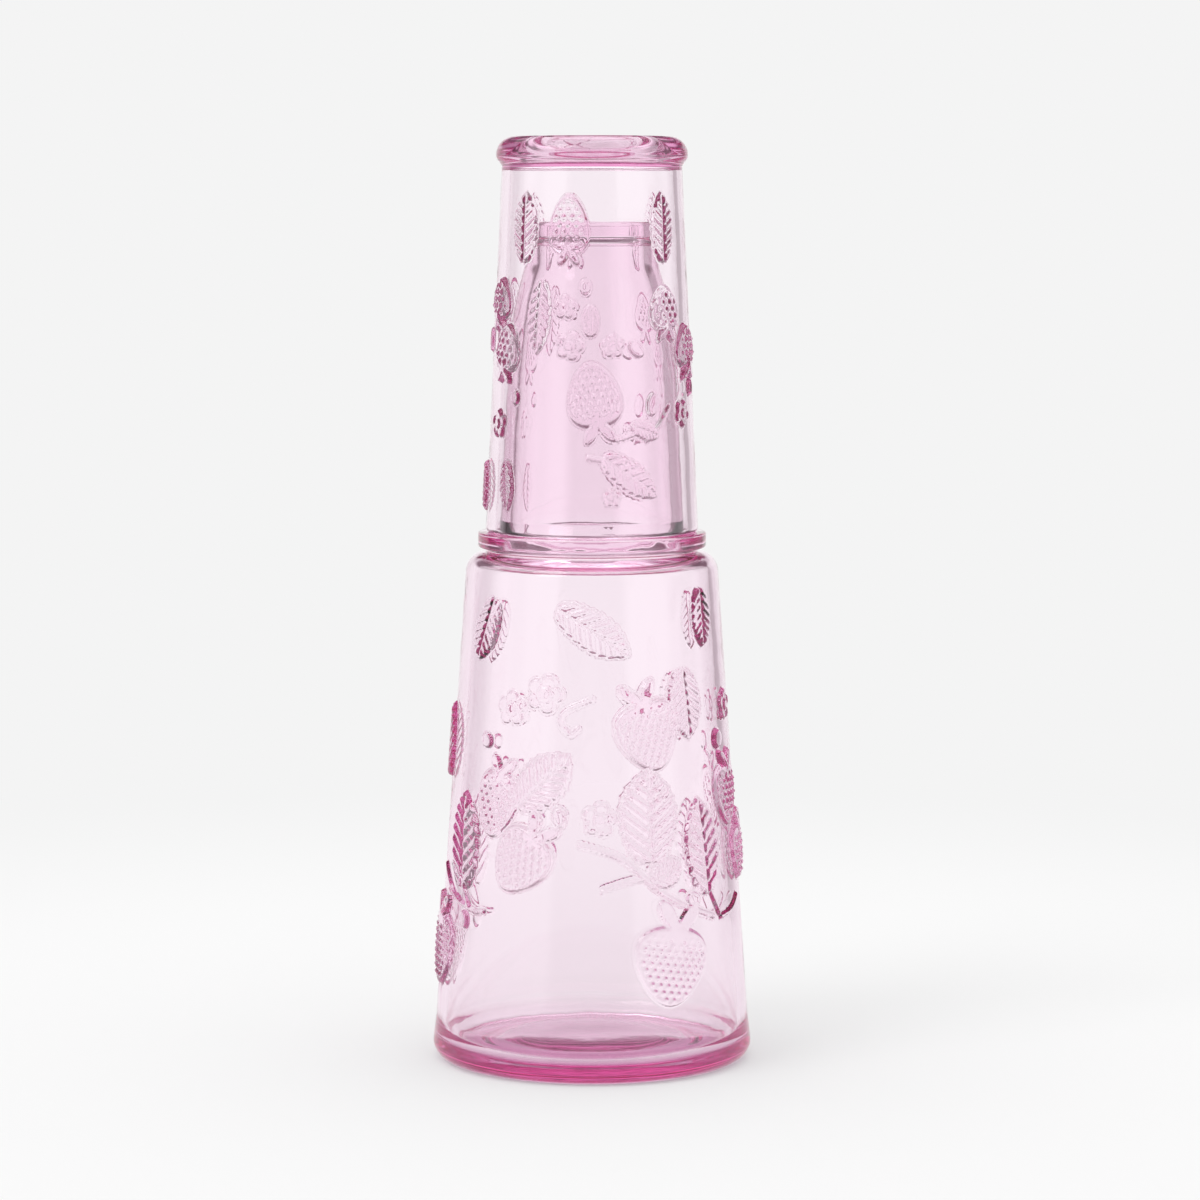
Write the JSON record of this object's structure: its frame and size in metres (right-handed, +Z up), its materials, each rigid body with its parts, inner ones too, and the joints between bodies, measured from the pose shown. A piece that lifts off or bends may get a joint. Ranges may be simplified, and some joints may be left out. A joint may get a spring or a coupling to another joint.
{
  "type": "bedside carafe with tumbler",
  "caption": "Tapered pressed-glass carafe with a moulded berry and leaf pattern. Its tumbler stands upside down over the neck as the cover.",
  "frame": {"origin": "middle of the ring that the carafe stands on, at the height of the table", "axes": "+Z up along the axis of both glasses; the side with the pictured pattern faces -Y, with +X to its right"},
  "size_m": [0.0834, 0.0834, 0.24],
  "materials": {
    "carafe_glass": "polished",
    "tumbler_glass": "polished"
  },
  "bodies": {
    "carafe": {"carafe": "carafe_glass"},
    "tumbler": {"tumbler": "tumbler_glass"}
  },
  "joints": [
    {"name": "tumbler_lift", "type": "slide", "parent": "carafe", "child": "tumbler", "axis": [0, 0, 1], "range_m": [0, 0.095]}
  ]
}
